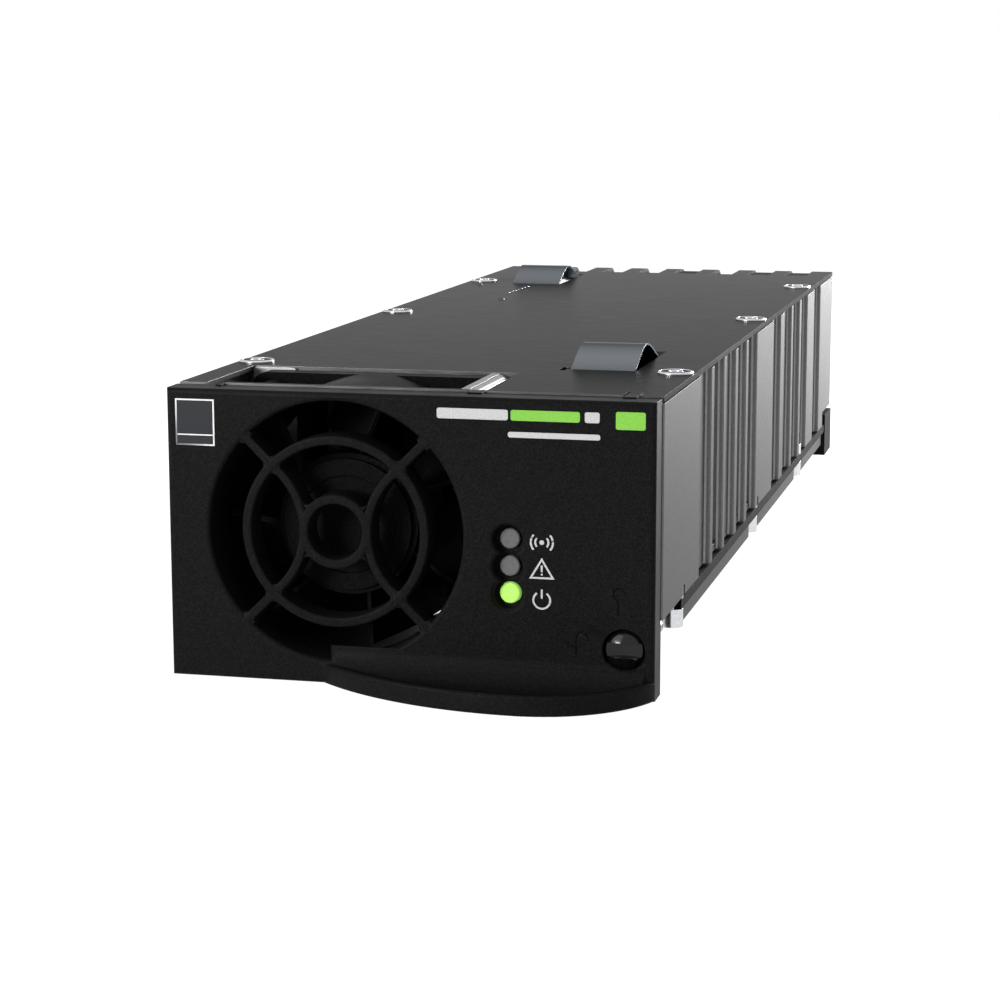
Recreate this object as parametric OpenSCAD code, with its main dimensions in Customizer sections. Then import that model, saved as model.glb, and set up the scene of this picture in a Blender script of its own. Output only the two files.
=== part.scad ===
// Compact hot-plug rectifier module: moulded front bezel with fan grille and
// handle lip, plug-in case between two fluted side walls, board-edge connector.
// Millimetres. Local frame: X right, Y towards the rear, Z up; y = 0 is the
// bezel's front face. place() then moves the bounding box's bottom centre to 0.

/* [Bezel] */
// Width of the bezel
bezel_w = 72; // [66:0.5:84]
// Height of the bezel
bezel_h = 42.6; // [40:0.1:50]
// Depth of the bezel's skirt
bezel_d = 5; // [4:0.1:8]
// Thickness of the front plate
face_t = 2; // [1.5:0.1:3]
// Thickness of the skirt
skirt_t = 1.4; // [1:0.1:2.4]
// Rounding of the front edges
edge_r = 0.8; // [0.4:0.1:1.5]

/* [Handle lip] */
// Reach of the lip in front of the face
lip_d = 11.9; // [8:0.1:16]
// Height of the lip
lip_h = 3; // [2:0.1:5]
// Distance of the lip's furthest point from the bezel's middle
lip_x = 18.5; // [12:0.1:20]
// Radius of the long left sweep
lip_left_r = 46.6; // [36:0.1:60]
// Radius of the short right sweep
lip_right_r = 18.6; // [17:0.1:19]
// Width of the raised rim
lip_rim = 1; // [0.6:0.1:2]
// Thickness of the scooped floor
lip_floor = 1.3; // [1:0.1:2]
// Radius of the scoop where it rises into the face
lip_fillet = 4.5; // [3:0.1:6]

/* [Fan grille] */
// Fan axis, sideways from the bezel's middle
fan_x = -10.7; // [-12:0.1:-10.5]
// Fan axis, above the base
fan_z = 22.45; // [22.1:0.05:22.45]
// Radius of the fan opening
open_r = 18.95; // [17:0.05:19]
// Rounding of the opening's front edge
open_edge = 0.65; // [0.3:0.05:0.8]
// Mean radius of the large ring
ring_r = 13.3; // [11:0.1:14]
// Mean radius of the hub ring
hub_ring_r = 4.75; // [4:0.05:6]
// Width of the grille's ribs
rib_w = 1.4; // [1:0.1:2]
// Radius of the bowed struts
strut_r = 11.6; // [10:0.1:14]
// Depth of the grille's ribs
rib_d = 4.4; // [3:0.1:4.8]
// Rounding of the ribs' front edges
rib_edge = 0.35; // [0.1:0.05:0.45]
// Radius of the fillets where ribs meet
rib_fillet = 0.8; // [0.4:0.1:1.2]

/* [Status lights] */
// Lights, sideways from the bezel's middle
led_x = 14.8; // [13:0.1:18]
// Middle light above the base
led_z = 18.4; // [16:0.1:24]
// Distance between lights
led_pitch = 3.95; // [3.8:0.05:5]
// Radius of each light
led_r = 1.5; // [1:0.1:1.6]
// Radius of each light's pocket
pocket_r = 2.2; // [1.9:0.05:2.4]
// Rounding of the pockets' front edges
pocket_edge = 0.5; // [0.2:0.05:0.6]
// Depth of the pockets
pocket_d = 2.2; // [1.6:0.1:2.6]

/* [Lock] */
// Lock screw, sideways from the bezel's middle
lock_x = 31.6; // [30:0.1:31.8]
// Lock screw above the base
lock_z = 7.3; // [6.6:0.1:9]
// Radius of the screw's recess
lock_recess_r = 3.1; // [2.9:0.05:3.4]
// Radius of the screw's head
lock_head_r = 2.8; // [2.2:0.05:2.85]
// Radius of the screw's shaft
lock_shaft_r = 1.9; // [1.4:0.05:2]
// Running clearance of the shaft
run_gap = 0.05; // [0.02:0.01:0.1]

/* [Case] */
// Width over the side walls
case_w = 71.9; // [66:0.1:84]
// Sideways shift of the case from the bezel's middle
case_x = 0.3; // [-0.4:0.1:0.4]
// Top of the cover plate
case_top = 42.9; // [42.8:0.1:50]
// Rear end of the side walls
case_y1 = 214.2; // [212:0.1:260]
// Thickness of the cover plate
plate_t = 0.8; // [0.6:0.05:1.2]
// Underside of the side walls
wall_z0 = 10.75; // [10.6:0.05:12]
// Thickness of a side wall behind its pads
wall_t = 1.6; // [1.4:0.05:2]
// Height of the pads above the flutes
pad_t = 1.05; // [0.6:0.05:1.2]

/* [Board and tray] */
// Underside of the main board
board_z = 8.75; // [8.5:0.05:9]
// Thickness of the main board
board_t = 1.6; // [1.2:0.1:1.8]
// Front edge of the main board
board_y0 = 22; // [20:0.1:22]
// Underside of the bottom tray
tray_z = 6.05; // [5.5:0.05:6.5]
// Wall of the bottom tray
tray_t = 0.9; // [0.6:0.1:1.2]
// Radius of a standoff
post_r = 1.75; // [1.2:0.05:1.9]

/* [Fan] */
// Size of the fan's square frame
fan_w = 40; // [34:0.5:40]
// Depth of the fan's frame
fan_d = 20; // [16:0.5:20]
// Radius of the fan's bore
bore_r = 18.9; // [15:0.1:18.9]
// Radius over the blades
tip_r = 18.3; // [14:0.1:18.4]
// Radius of the rotor's hub
hub_r = 10.5; // [8:0.1:11]
// Number of blades
blades = 7; // [5:1:9]
// Radius of the rotor's shaft
shaft_r = 1; // [0.8:0.05:1.2]

/* [Cover] */
// Radius of a cover screw's head
head_r = 2.75; // [2:0.05:3]
// Width of a grounding spring
spring_w = 10; // [8:0.5:12]
// Rise of a grounding spring
spring_h = 3; // [2:0.1:4]
// Thickness of a grounding spring
spring_t = 0.3; // [0.2:0.05:0.4]
// Distance between rear notches
notch_pitch = 8.05; // [8:0.05:8.4]
// Width of a rear notch
notch_w = 4.65; // [4:0.05:5]
// Depth of a rear notch
notch_d = 10.8; // [9:0.1:12]
// Bend radius of the rear fingers
finger_r = 6; // [4:0.1:8]

/* [Connector] */
// Width of the rear connector
plug_w = 60; // [50:0.5:66]
// Depth of the rear connector
plug_d = 11.1; // [10:0.1:12]
// Underside of the rear connector
plug_z = 3.6; // [2:0.1:5]
// Height of the rear connector
plug_h = 9.9; // [9.8:0.1:11]

/* [Hidden] */
$fn = 64;
e = 0.01;
case_x0 = case_x - case_w / 2;
case_x1 = case_x + case_w / 2;
plate_z = case_top - plate_t;
pad_top = plate_z - 0.25;
wall_in = case_w / 2 - pad_t - wall_t;
board_top = board_z + board_t;
board_hw = case_w / 2 - 0.2;
case_y0 = bezel_d;
fan_y0 = bezel_d;
fan_y1 = fan_y0 + fan_d;
fan_top = fan_z + fan_w / 2;
duct_x0 = fan_x - fan_w / 2 - 0.8;
duct_x1 = fan_x + fan_w / 2 + 1.1;
plug_y0 = case_y1 - 8.7;
plug_y1 = plug_y0 + plug_d;
plug_x1 = case_x1;
plug_x0 = plug_x1 - plug_w;
finger_a = 60;
finger_y = case_y1 + finger_r * sin(finger_a);
notch_x0 = case_x + case_w / 2 - 4.45 - 7 * notch_pitch - notch_w;
board_y1 = plug_y0;
post_x = case_w / 2 - 1.85;
post_ys = [board_y0 + 1, board_y0 + 79, board_y0 + 141.9];
left_post_y0 = board_y0 + 7;
screw_x = case_w / 2 - 2.95;
screw_ys = [30.65, 109.8, 175.7];
// start and end of each pad along the case
pads = [[0, 31.5], [42.1, 44.7], [54.8, 57], [67.2, 70], [79.4, 82], [92.5, 113.8], [124, 128.8],
        [139.7, 142.2], [152.4, 155.2], [165.1, 176.5], [187.2, case_y1 - case_y0]];
// windows where the bulk capacitors stand behind the right wall
windows = [[44.7, 54.8], [70, 79.4], [82, 92.5]];
sill = 1.2;
cap_r = 6.1;
cap_pitch = 12.5;
cap_n = 5;
cap_x = case_x + wall_in - cap_r - 0.35;
cap_y = 46.9;
cap_top = 37;
spring_f = 11.4;
spring_b = 8.7;
front_spring = [21.8, 30.8];
rear_spring = [-20.9, 170.6];
lugs = [4, 6, 7];

origin_x = (min(-bezel_w / 2, case_x0) + max(bezel_w / 2, case_x1)) / 2;
origin_y = (finger_y - lip_d) / 2;
module place() { translate([-origin_x, -origin_y, 0]) children(); }
// a cylinder along +Y from the given point
module rod(p, r, l) { translate(p) rotate([-90, 0, 0]) cylinder(r = r, h = l); }
module disc(p, r, z) { translate([p[0], p[1], p[2]]) cylinder(r = r, h = z); }
module box(a, b) { translate(a) cube([b[0] - a[0], b[1] - a[1], b[2] - a[2]]); }
// square with round corners
module rsquare(w, h, r) {
    union() {
        translate([-w / 2 + r, -h / 2]) square([w - 2 * r, h]);
        translate([-w / 2, -h / 2 + r]) square([w, h - 2 * r]);
        for (x = [-1, 1], y = [-1, 1]) translate([x * (w / 2 - r), y * (h / 2 - r)]) circle(r);
    }
}

// ---------- bezel ----------
module bezel_block(w, h, r) {
    intersection() {
        translate([-w / 2, 0, 0]) rotate([90, 0, 90]) linear_extrude(w) union() {
            translate([r, 0]) square([bezel_d - r, h]);
            translate([0, r]) square([bezel_d, h - 2 * r]);
            for (z = [r, h - r]) translate([r, z]) circle(r);
        }
        linear_extrude(h) union() {
            translate([-w / 2 + r, 0]) square([w - 2 * r, bezel_d]);
            translate([-w / 2, r]) square([w, bezel_d - r]);
            for (x = [-1, 1]) translate([x * (w / 2 - r), r]) circle(r);
        }
    }
}
// one sweep of the lip: a disc with rounded rims, kept in front of the face
module lip_sweep(r, inset, z0, z1, soft) {
    translate([lip_x, r - lip_d, z0]) rotate_extrude($fn = 160) union() {
        square([r - inset - soft, z1 - z0]);
        translate([0, soft]) square([r - inset, z1 - z0 - 2 * soft]);
        if (soft > 0) for (z = [soft, z1 - z0 - soft]) translate([r - inset - soft, z]) circle(soft);
    }
}
module lip_body(inset, z0, z1, soft) {
    intersection() {
        lip_sweep(lip_left_r, inset, z0, z1, soft);
        box([-bezel_w, -bezel_w, z0], [lip_x, 0.5, z1]);
    }
    intersection() {
        lip_sweep(lip_right_r, inset, z0, z1, soft);
        box([lip_x, -bezel_w, z0], [bezel_w, 0.5, z1]);
    }
}
module lip() {
    difference() {
        lip_body(0, 0, lip_h, 0.5);
        lip_body(lip_rim, lip_floor, lip_h + 1, 0);
    }
    // concave rise from the scooped floor into the face
    intersection() {
        lip_body(lip_rim, 0, lip_floor + lip_fillet, 0);
        translate([-bezel_w / 2, 0.04, lip_floor - 0.04]) rotate([90, 0, 90]) linear_extrude(bezel_w) difference() {
            translate([-lip_fillet, 0]) square([lip_fillet + 0.4, lip_fillet]);
            translate([-lip_fillet, lip_fillet]) circle(lip_fillet, $fn = 96);
        }
    }
}
// section of a rib with rounded front edges, out along X and back along Y;
// thinner makes it a little slimmer than the rib that it runs into
module rib_section(thinner) {
    w = rib_w / 2 - thinner;
    union() {
        translate([-w, thinner + rib_edge]) square([2 * w, rib_d - rib_edge - 2 * thinner]);
        translate([-w + rib_edge, thinner]) square([2 * (w - rib_edge), rib_d - 2 * thinner]);
        for (s = [-1, 1]) translate([s * (w - rib_edge), thinner + rib_edge]) circle(rib_edge, $fn = 32);
    }
}
module rib_ring(r, thinner) {
    rotate([-90, 0, 0]) rotate_extrude($fn = 180) translate([r, 0]) rib_section(thinner);
}
module web() {
    translate([0, rib_d - 0.15, 0]) rotate([90, 0, 0]) linear_extrude(rib_d - 0.15 - rib_edge * 0.4) children();
}
// concave corners round a crossing of two ribs
module crossing(r) {
    q = rib_w / 2 + r - 0.08;
    web() difference() {
        square(2 * q - 0.1, center = true);
        for (x = [-1, 1], y = [-1, 1]) translate([x * q, y * q]) circle(r, $fn = 48);
    }
}
// fillet in the notch between the hub ring and a bowed strut
module hub_fillet() {
    a = hub_ring_r + rib_w / 2;
    b = strut_r + rib_w / 2;
    d = hub_ring_r + strut_r;
    r = rib_fillet;
    fx = (d * d + (a + r) * (a + r) - (b + r) * (b + r)) / (2 * d);
    f = [fx, sqrt((a + r) * (a + r) - fx * fx)];
    xx = (d * d + a * a - b * b) / (2 * d);
    x = [xx, sqrt(a * a - xx * xx)] * 0.95;
    web() difference() {
        polygon([f, f * (a - 0.1) / (a + r), x, [d, 0] + (f - [d, 0]) * (b - 0.1) / (b + r)]);
        translate(f + (x - f) * 0.06) circle(r, $fn = 48);
    }
}
module grille() {
    translate([fan_x, 0, fan_z]) {
        rib_ring(ring_r, 0);
        rib_ring(hub_ring_r, 0);
        for (a = [45:90:315]) rotate([0, a, 0]) {
            translate([ring_r, 0, 0]) rotate([0, 90, 0])
                linear_extrude(open_r + open_edge + 0.2 - ring_r) rib_section(0.02);
            translate([ring_r, 0, 0]) crossing(rib_fillet);
            translate([open_r + 0.2, 0, 0]) crossing(0.5);
        }
        for (s = [0, 180]) rotate([0, s, 0]) {
            intersection() {
                translate([hub_ring_r + strut_r, 0, 0]) rib_ring(strut_r, 0.05);
                rod([0, -1, 0], ring_r, rib_d + 2, $fn = 96);
            }
            hub_fillet();
            mirror([0, 0, 1]) hub_fillet();
        }
    }
}
// opening with a rounded front edge
module fan_mouth() {
    rod([fan_x, -1, fan_z], open_r, bezel_d + 2, $fn = 128);
    translate([fan_x, 0, fan_z]) rotate([-90, 0, 0]) rotate_extrude($fn = 128) difference() {
        translate([open_r - 1, -0.1]) square([1 + open_edge, open_edge + 0.1]);
        translate([open_r + open_edge, open_edge]) circle(open_edge);
    }
}
module shell() {
    difference() {
        bezel_block(bezel_w, bezel_h, edge_r);
        box([-bezel_w / 2 + skirt_t, face_t, skirt_t],
            [bezel_w / 2 - skirt_t, bezel_d + 1, bezel_h - skirt_t]);
    }
    // collar round the fan opening
    intersection() {
        rod([fan_x, face_t / 2, fan_z], open_r + 1.2, bezel_d - face_t / 2, $fn = 128);
        box([-bezel_w / 2, 0, 0.7], [bezel_w / 2, bezel_d, bezel_h - 0.1]);
    }
    // boss round the lock screw, pillars that carry the light board
    rod([lock_x, 0.5, lock_z], lock_recess_r + 1.2, bezel_d - 0.5);
    for (z = [led_z - 7, led_z + 7])
        rod([led_x + 6.5, face_t / 2, z], 1.5, bezel_d - face_t / 2 + 1.8);
    box([led_x - 3.4, face_t / 2, led_z - 7.6], [led_x + 3.4, pocket_d + 1.2, led_z + 7.6]);
    // stiffening ribs
    for (x = [14, 26]) box([x, face_t / 2, bezel_h - 12], [x + 1, bezel_d - 0.6, bezel_h - 1]);
    box([10.6, face_t / 2, 9.6], [27, bezel_d - 0.6, 10.6]);
}
// hooks that hold the cover's front edge
module hooks() {
    z0 = plate_z - 1.6;
    z1 = case_top - 0.1;
    box([duct_x1 - 2.3, bezel_d - 1.4, z0], [duct_x1 - 0.1, bezel_d + 1.5, z1]);
    box([duct_x0 + 1.9, bezel_d - 1.4, z0], [duct_x0 + 2.8, bezel_d + 1.2, z1]);
    box([30.6, bezel_d - 1.4, z0], [32.6, bezel_d + 3.2, z1]);
}
module light_pockets() {
    for (k = [-1:1]) translate([led_x, 0, led_z + k * led_pitch]) {
        rod([0, -1, 0], pocket_r, pocket_d + 1);
        rod([0, -1, 0], led_r + 0.1, bezel_d + 2);
        rotate([-90, 0, 0]) rotate_extrude() difference() {
            translate([pocket_r - 1, -0.1]) square([1 + pocket_edge, pocket_edge + 0.1]);
            translate([pocket_r + pocket_edge, pocket_edge]) circle(pocket_edge, $fn = 32);
        }
    }
}
module front_bezel() color("#17181a") place() {
    difference() {
        union() {
            difference() {
                shell();
                fan_mouth();
            }
            lip();
            hooks();
        }
        light_pockets();
        rod([lock_x, -1, lock_z], lock_recess_r, 1 + face_t);
        rod([lock_x, -1, lock_z], lock_shaft_r + run_gap, bezel_d + 2);
    }
    grille();
}

// ---------- lock ----------
module lock_screw() color("#202124") place() {
    cam_y = bezel_d + 0.3;
    dome = (lock_head_r * lock_head_r + 1.2) / 2.2;
    tip = [3.15, 2.05];
    difference() {
        union() {
            // domed head
            intersection() {
                rod([lock_x, -1, lock_z], lock_head_r, face_t + 0.7);
                translate([lock_x, dome - 0.25, lock_z]) sphere(dome, $fn = 96);
            }
            rod([lock_x, face_t - 0.4, lock_z], lock_shaft_r, cam_y + 2.3 - face_t + 0.4);
            // cam behind the bezel
            translate([lock_x, cam_y, lock_z]) rotate([-90, 0, 0]) linear_extrude(2.3) union() {
                circle(2.7);
                translate([tip[0], -tip[1]]) circle(1.15, $fn = 48);
                rotate(-atan2(tip[1], tip[0])) translate([0, -1.05])
                    square([sqrt(tip[0] * tip[0] + tip[1] * tip[1]), 2.1]);
            }
        }
        box([lock_x - 4, -2, lock_z - 1], [lock_x + 4, 0.7, lock_z + 1]);
    }
}

// ---------- status lights ----------
light_y0 = 1.6;
light_y1 = bezel_d + 1.8;
module status_light(k) {
    soft = 0.3;
    translate([led_x, 0, led_z + k * led_pitch]) rotate([-90, 0, 0]) rotate_extrude($fn = 48) union() {
        translate([0, light_y0]) square([led_r - soft, soft]);
        translate([led_r - soft, light_y0 + soft]) circle(soft, $fn = 24);
        translate([0, light_y0 + soft]) square([led_r, light_y1 - light_y0 - soft]);
        translate([0, bezel_d - 0.1]) square([led_r + 0.3, light_y1 - bezel_d + 0.1]);
    }
}
module light_top() color("#707070") place() status_light(1);
module light_middle() color("#707070") place() status_light(0);
module light_bottom() color("#9fd35a") place() status_light(-1);
module light_board() color("#1e3a26") place() {
    difference() {
        box([led_x - 3.6, light_y1, led_z - 9.4], [led_x + 9, light_y1 + 1.2, led_z + 9.4]);
        for (z = [led_z - 7, led_z + 7]) rod([led_x + 6.5, light_y1 - 1, z], 0.8, 4);
    }
}

// ---------- fan ----------
module square_slab(y0, y1, r) {
    translate([fan_x, y1, fan_z]) rotate([90, 0, 0]) linear_extrude(y1 - y0) rsquare(fan_w, fan_w, r);
}
fan_hole = fan_w / 2 - 4;
module fan_frame() color("#141414") place() {
    difference() {
        union() {
            square_slab(fan_y0, fan_y0 + 3, 2.8);
            square_slab(fan_y1 - 3, fan_y1, 2.8);
            intersection() {
                rod([fan_x, fan_y0, fan_z], bore_r + 1.3, fan_d, $fn = 128);
                square_slab(fan_y0, fan_y1, 2.8);
            }
            for (s = [-1, 1], t = [-1, 1])
                rod([fan_x + s * fan_hole, fan_y0, fan_z + t * fan_hole], 2.9, fan_d);
        }
        rod([fan_x, fan_y0 - 1, fan_z], bore_r, fan_d + 2, $fn = 128);
        // flared inlet
        translate([fan_x, fan_y0, fan_z]) rotate([-90, 0, 0])
            translate([0, 0, -e]) cylinder(r1 = bore_r + 0.6, r2 = bore_r, h = 2, $fn = 128);
        for (s = [-1, 1], t = [-1, 1])
            rod([fan_x + s * fan_hole, fan_y0 - 1, fan_z + t * fan_hole], 1.8, fan_d + 2);
    }
    // motor mount, stays and bearing tube
    difference() {
        union() {
            rod([fan_x, fan_y1 - 2.4, fan_z], hub_r - 1, 2.3);
            for (a = [20, 140, 260]) translate([fan_x, 0, fan_z]) rotate([0, a, 0])
                box([hub_r - 2, fan_y1 - 2, -1], [bore_r + 0.6, fan_y1 - 0.3, 1]);
            rod([fan_x, fan_y0 + 5, fan_z], 2.6, fan_d - 6);
        }
        rod([fan_x, fan_y0 + 4, fan_z], shaft_r + run_gap, fan_d - 5);
    }
}
rotor_y0 = fan_y0 + 1.2;
rotor_y1 = fan_y1 - 3;
module fan_rotor() color("#1c1c1d") place() {
    difference() {
        union() {
            rod([fan_x, rotor_y0 + 0.8, fan_z], hub_r, rotor_y1 - rotor_y0 - 0.8);
            rod([fan_x, rotor_y0, fan_z], hub_r - 0.8, 1);
        }
        rod([fan_x, rotor_y0 + 1.6, fan_z], hub_r - 1.2, fan_d);
        translate([fan_x, rotor_y0, fan_z]) rotate([-90, 0, 0]) translate([0, 0, -e])
            cylinder(r1 = hub_r - 3.2, r2 = hub_r - 3.4, h = 0.3);
    }
    rod([fan_x, rotor_y0 + 1, fan_z], shaft_r, fan_d - 4);
}
// one blade: a curved sheet with its leading edge set off from the radius
module blade() {
    pitch = 40;
    curve = 16;
    chord = 13.6;
    rotate([0, 90, 0]) translate([0, 0, hub_r - 1.5])
        linear_extrude(tip_r - hub_r + 3) rotate(pitch) translate([0, -curve]) intersection() {
            difference() { circle(curve, $fn = 128); circle(curve - 0.8, $fn = 128); }
            translate([-chord / 2, curve / 2]) square([chord, curve]);
        }
}
module fan_blades() color("#1c1c1d") place() {
    depth = [rotor_y0 + 1.2, rotor_y1 - 1.4];
    intersection() {
        translate([fan_x, (depth[0] + depth[1]) / 2, fan_z]) for (k = [0:blades - 1])
            rotate([0, -16 - k * 360 / blades, 0]) rotate([-90, 0, 0]) translate([0, -5, 0]) blade();
        difference() {
            rod([fan_x, depth[0], fan_z], tip_r, depth[1] - depth[0], $fn = 128);
            rod([fan_x, depth[0] - 1, fan_z], hub_r, depth[1] - depth[0] + 2);
        }
    }
}
module fan_stator() color("#8c5a35") place() {
    difference() {
        union() {
            rod([fan_x, fan_y0 + 7, fan_z], 4.2, fan_d - 9.4);
            for (a = [0:90:270]) translate([fan_x, 0, fan_z]) rotate([0, a + 45, 0]) {
                box([3, fan_y0 + 8, -1.7], [7.2, fan_y1 - 4, 1.7]);
                intersection() {
                    difference() {
                        rod([0, fan_y0 + 8.5, 0], hub_r - 1.9, fan_d - 13);
                        rod([0, fan_y0 + 8, 0], hub_r - 3.4, fan_d);
                    }
                    box([3, fan_y0, -5], [hub_r, fan_y1, 5]);
                }
            }
        }
        rod([fan_x, fan_y0 + 6, fan_z], 2.6, fan_d);
    }
}
module fan_screws() color("#c9ccd0") place() {
    for (s = [-1, 1], t = [-1, 1]) union() {
        rod([fan_x + s * fan_hole, fan_y1, fan_z + t * fan_hole], 2.9, 1.6);
        rod([fan_x + s * fan_hole, fan_y0 + 0.6, fan_z + t * fan_hole], 1.5, fan_d);
    }
}
// thin strip that closes the cover's cut-out above the fan's front flange
module front_strip() color("#9a9da1") place()
    box([duct_x0 + 2.8, bezel_d, fan_top], [duct_x1 - 2.5, bezel_d + 1.2, case_top]);
// rolled aluminium sides of the air duct, beside the fan
module air_baffle() color("#b9bcc0") place() {
    roll = 1.3;
    for (s = [[fan_x + fan_w / 2 + 0.1, 1], [fan_x - fan_w / 2 - 0.1, -1]]) {
        x = s[0] + s[1] * 0.5;
        y0 = bezel_d + 1.6;
        box([min(s[0], s[0] + s[1]), y0, board_top + 0.4], [max(s[0], s[0] + s[1]), fan_y1 + 3, plate_z - roll]);
        intersection() {
            rod([x - s[1] * (roll - 0.5), y0, plate_z - roll], roll, fan_y1 + 3 - y0);
            box([min(x - s[1] * (roll - 0.5), s[0] + s[1]), y0, plate_z - roll - e],
                [max(x - s[1] * (roll - 0.5), s[0] + s[1]), fan_y1 + 3, plate_z]);
        }
    }
}

// ---------- cover ----------
module spring_slot(p) {
    box([p[0] - spring_w / 2 - 0.3, p[1] + 1.2, plate_z - 1],
        [p[0] + spring_w / 2 + 0.3, p[1] + spring_f + spring_b + 7.4, case_top + 1]);
}
module top_cover() color("#77797c") place() {
    difference() {
        union() {
            box([case_x0, case_y0, plate_z], [case_x1, case_y1, case_top]);
            // fingers curve down behind the rear edge
            intersection() {
                translate([case_x0, case_y1, case_top - finger_r]) rotate([0, 90, 0]) difference() {
                    cylinder(r = finger_r, h = case_w, $fn = 96);
                    translate([0, 0, -1]) cylinder(r = finger_r - plate_t, h = case_w + 2, $fn = 96);
                }
                translate([notch_x0 + notch_w, case_y1, case_top - finger_r]) rotate([90, 0, 90])
                    linear_extrude(7 * notch_pitch - notch_w)
                    polygon([[-e, 0], [2 * finger_r * sin(finger_a), 2 * finger_r * cos(finger_a)], [0, 2 * finger_r], [-e, 2 * finger_r]]);
            }
        }
        box([duct_x0, 0, 0], [duct_x1, fan_y1 + 1, 99]);
        box([30.4, 0, 0], [32.8, bezel_d + 3.4, 99]);
        for (k = [0:7]) box([notch_x0 + k * notch_pitch, case_y1 - notch_d, 0],
                            [notch_x0 + k * notch_pitch + notch_w, finger_y + 1, 99]);
        for (s = [-1, 1], y = screw_ys) disc([case_x + s * screw_x, y, 0], 1.6, 99);
        spring_slot(front_spring);
        spring_slot(rear_spring);
        box([front_spring[0] - spring_w / 2 - 1.3, front_spring[1] - 0.3, 0],
            [front_spring[0] - spring_w / 2 - 0.4, front_spring[1] + 4, 99]);
    }
}
module cover_screws() color("#c9ccd0") place() {
    for (s = [-1, 1], y = screw_ys) translate([case_x + s * screw_x, y, 0]) difference() {
        union() {
            disc([0, 0, case_top], head_r, 0.25);
            translate([0, 0, case_top + 0.25]) cylinder(r1 = head_r, r2 = head_r - 0.3, h = 0.2);
            disc([0, 0, plate_z - 4], 1.45, plate_t + 4.1);
        }
        disc([0, 0, case_top - 0.6], 0.95, 2, $fn = 6);
    }
}
// arched strip with its feet hooked under the plate
module spring(p) {
    rf = (spring_f * spring_f + spring_h * spring_h) / (2 * spring_h);
    rb = (spring_b * spring_b + spring_h * spring_h) / (2 * spring_h);
    top = case_top + spring_h;
    translate([p[0] - spring_w / 2, p[1] + spring_f, 0]) rotate([90, 0, 90]) linear_extrude(spring_w) union() {
        intersection() {
            translate([0, top - rf]) difference() { circle(rf, $fn = 200); circle(rf - spring_t, $fn = 200); }
            translate([-spring_f + 0.8, case_top]) square([spring_f - 0.8, spring_h + 1]);
        }
        intersection() {
            translate([0, top - rb]) difference() { circle(rb, $fn = 160); circle(rb - spring_t, $fn = 160); }
            translate([0, plate_z - spring_t]) square([spring_b + 3, spring_h + 3]);
        }
        translate([-spring_f - 0.4, case_top]) square([2.3, spring_t]);
    }
}
module spring_front() color("#9aa3ad") place() spring(front_spring);
module spring_rear() color("#9aa3ad") place() spring(rear_spring);

// ---------- side walls ----------
// outline of the fluted wall seen from above: pads, with fillets in the flutes
module wall_outline() {
    r = 0.4;
    translate([wall_in, case_y0]) square([wall_t, case_y1 - case_y0]);
    for (p = pads) union() {
        translate([wall_in + wall_t - e, case_y0 + p[0]]) square([pad_t + e - 0.15, p[1] - p[0]]);
        translate([wall_in + wall_t, case_y0 + p[0] + 0.15]) square([pad_t, p[1] - p[0] - 0.3]);
        if (p[0] > 0) translate([wall_in + wall_t - e, case_y0 + p[0] - r]) difference() {
            square([r, r + e]);
            translate([r, 0]) circle(r, $fn = 32);
        }
    }
}
module side_wall(posts, slots) {
    difference() {
        union() {
            translate([0, 0, wall_z0]) linear_extrude(pad_top - wall_z0) wall_outline();
            box([wall_in, case_y0, pad_top - e], [wall_in + wall_t, case_y1, plate_z]);
            // bosses under the cover screws
            for (y = screw_ys) {
                disc([screw_x, y, plate_z - 4.4], 2.3, 4.4);
                box([screw_x, y - 2.3, plate_z - 4.4], [wall_in + wall_t, y + 2.3, plate_z]);
            }
        }
        for (y = screw_ys) disc([screw_x, y, plate_z - 4.2], 1.5, 5);
        for (w = slots) box([wall_in - 1, case_y0 + w[0], wall_z0 + sill], [case_w / 2 - pad_t + e, case_y0 + w[1], 99]);
        // pockets over the standoffs
        for (y = posts) disc([post_x, y, wall_z0 - 1], post_r + 0.25, 1 + 1.55);
        // cut for the connector
        box([wall_in - 1, plug_y0 - 5.5, 0], [case_w, case_y1 + 1, plug_z + plug_h + 0.3]);
    }
}
module wall_right() color("#a9abad") place() translate([case_x, 0, 0]) side_wall(post_ys, windows);
module wall_left() color("#a9abad") place() translate([case_x, 0, 0]) mirror([1, 0, 0])
    side_wall([left_post_y0, post_ys[1], post_ys[2]], []);

// ---------- board, tray, standoffs ----------
posts = [for (y = post_ys) [case_x + post_x, y],
         for (y = [left_post_y0, post_ys[1], post_ys[2]]) [case_x - post_x, y]];
module main_board() color("#15181a") place() {
    difference() {
        box([case_x - board_hw, board_y0, board_z], [case_x + board_hw, board_y1, board_top]);
        box([case_x - board_hw - 1, 0, 0], [duct_x1, fan_y1 + 0.6 + 1.6, 99]);
        for (p = posts) disc([p[0], p[1], 0], 1.15, 99);
    }
}
module bottom_tray() color("#8f9194") place() {
    hw = board_hw - 0.5;
    y1 = plug_y0 - 1;
    difference() {
        box([case_x - hw, board_y0 + 3, tray_z], [case_x + hw, y1, board_z]);
        box([case_x - hw + tray_t, board_y0 + 3 + tray_t, tray_z + tray_t],
            [case_x + hw - tray_t, y1 - tray_t, board_z + 1]);
        box([case_x - hw - 1, 0, 0], [duct_x1, fan_y1 + 2.2, 99]);
        for (p = posts) {
            x = p[0] > case_x ? [p[0] - post_r - 0.4, p[0] + 9] : [p[0] - 9, p[0] + post_r + 0.4];
            box([x[0], p[1] - 5.9, 0], [x[1], p[1] + post_r + 0.2, 99]);
        }
    }
}
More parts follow.
